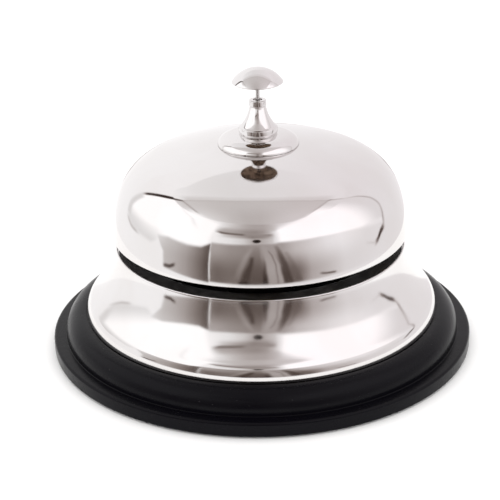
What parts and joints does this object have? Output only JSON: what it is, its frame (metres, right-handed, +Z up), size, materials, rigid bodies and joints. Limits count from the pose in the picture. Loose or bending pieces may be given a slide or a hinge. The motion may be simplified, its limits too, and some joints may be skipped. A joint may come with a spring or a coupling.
{
  "type": "service bell",
  "caption": "Desk call bell: polished gong over a flared skirt on a stepped black base, with a press knob that swings a hidden hammer against the gong.",
  "frame": {"origin": "centre of the underside, at the plane it rests on", "axes": "+Z up along the press rod; +X towards the hammer's head; the usual viewing side is -Y"},
  "size_m": [0.21, 0.21, 0.1412],
  "materials": {
    "nickel_plate": "mirror-polished nickel plate on spun brass",
    "black_lacquer": "satin black lacquer over turned hardwood",
    "black_paint": "satin black stove enamel on pressed steel",
    "felt": "black pressed wool felt",
    "zinc": "bright zinc-plated steel",
    "brass": "turned brass, lightly tarnished",
    "fibre": "red vulcanised fibre",
    "spring_steel": "music wire",
    "rod_steel": "drawn steel rod, bright"
  },
  "bodies": {
    "root": {"felt_pad": "felt", "wooden_base": "black_lacquer", "skirt": "nickel_plate", "inner_pan": "black_paint", "pan_screws": "zinc", "bracket_screws": "zinc", "bracket": "black_paint", "pivot_pin": "zinc", "pin_clip": "zinc", "pivot_spacers": "brass", "stem": "brass", "stem_nut": "brass", "bell_spacer": "brass", "fibre_washer": "fibre", "bell": "nickel_plate", "saucer": "nickel_plate", "finial": "nickel_plate", "plunger_spring": "spring_steel"},
    "plunger": {"knob": "nickel_plate", "plunger_rod": "rod_steel", "plunger_collar": "brass"},
    "hammer": {"hammer_arm": "zinc", "hammer_head": "brass", "hammer_rivet": "zinc"}
  },
  "joints": [
    {"name": "plunger_press", "type": "slide", "parent": "root", "child": "plunger", "axis": [0, 0, -1], "range_m": [0, 0.005], "stiffness_N_per_m": 320, "springref_m": -0.004, "deforming": ["plunger_spring"]},
    {"name": "hammer_swing", "type": "hinge", "parent": "root", "child": "hammer", "pos_m": [0.0115, 0, 0.058], "axis": [0, -1, 0], "range_deg": [0, 25]}
  ],
  "couplings": [
    {"joint": "hammer_swing", "follows": "plunger_press", "rad_per_m": 87}
  ]
}
